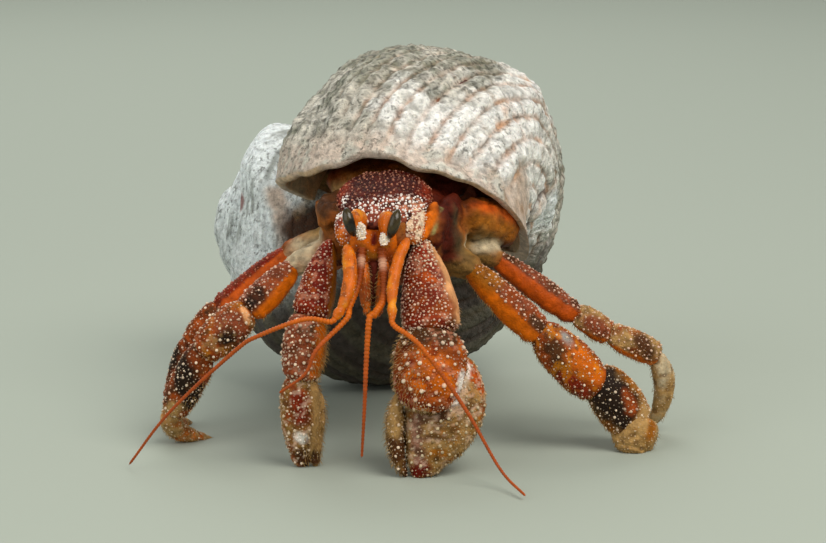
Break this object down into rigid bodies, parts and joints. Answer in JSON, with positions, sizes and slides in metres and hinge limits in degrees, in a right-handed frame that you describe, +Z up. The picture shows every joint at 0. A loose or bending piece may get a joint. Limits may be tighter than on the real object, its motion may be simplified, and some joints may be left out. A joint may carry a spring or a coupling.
{
  "type": "strawberry land hermit crab in a turban shell",
  "caption": "Still, life-size land hermit crab walking in a worn turban shell, resting on its claw tips, leg tips and the underside of the shell.",
  "frame": {"origin": "centre of the model's box at floor level, under the middle of the animal", "axes": "+Z up; the crab faces -Y, so +X is its left side and +Y points to the back of the shell"},
  "size_m": [0.072, 0.0866, 0.0516],
  "materials": {
    "shell_chalk": "chalky, weathered, with worn spiral cords",
    "shield_granular": "satin, with dense pale granules",
    "claw_granular": "satin, with pale blunt tubercles",
    "leg_granular": "satin, with pale blunt tubercles",
    "orange_plate": "smooth, slightly glossy",
    "feeler": "satin, finely ringed",
    "soft_skin": "moist, wrinkled",
    "cornea": "wet, glossy"
  },
  "bodies": {
    "root": {"carapace_shield": "shield_granular", "face": "shield_granular", "cheek_r": "shield_granular", "cheek_l": "shield_granular", "flank_r": "soft_skin", "flank_l": "soft_skin", "thorax": "soft_skin", "carapace_rear": "soft_skin", "maxilliped_r": "orange_plate", "maxilliped_l": "orange_plate", "eyestalk_r": "orange_plate", "eye_r": "cornea", "eyestalk_l": "orange_plate", "eye_l": "cornea", "antenna_r_stem": "orange_plate", "antenna_r_whip": "feeler", "antenna_l_stem": "orange_plate", "antenna_l_whip": "feeler", "antennule_r_stalk": "orange_plate", "antennule_r_lash": "feeler", "antennule_l_stalk": "orange_plate", "antennule_l_lash": "feeler", "claw_l_base": "soft_skin", "claw_l_merus": "claw_granular", "claw_l_carpus": "claw_granular", "claw_l_palm": "claw_granular", "claw_l_dactyl": "claw_granular", "claw_r_base": "soft_skin", "claw_r_merus": "claw_granular", "claw_r_carpus": "claw_granular", "claw_r_palm": "claw_granular", "claw_r_dactyl": "claw_granular", "leg1_r_base": "soft_skin", "leg1_r_merus": "leg_granular", "leg1_r_carpus": "leg_granular", "leg1_r_propodus": "leg_granular", "leg1_r_dactyl": "leg_granular", "leg2_r_base": "soft_skin", "leg2_r_merus": "leg_granular", "leg2_r_carpus": "leg_granular", "leg2_r_propodus": "leg_granular", "leg2_r_dactyl": "leg_granular", "leg1_l_base": "soft_skin", "leg1_l_merus": "leg_granular", "leg1_l_carpus": "leg_granular", "leg1_l_propodus": "leg_granular", "leg1_l_dactyl": "leg_granular", "leg2_l_base": "soft_skin", "leg2_l_merus": "leg_granular", "leg2_l_carpus": "leg_granular", "leg2_l_propodus": "leg_granular", "leg2_l_dactyl": "leg_granular", "hook_leg_r": "soft_skin", "hook_leg_l": "soft_skin", "abdomen": "soft_skin", "shell": "shell_chalk"}
  },
  "joints": []
}
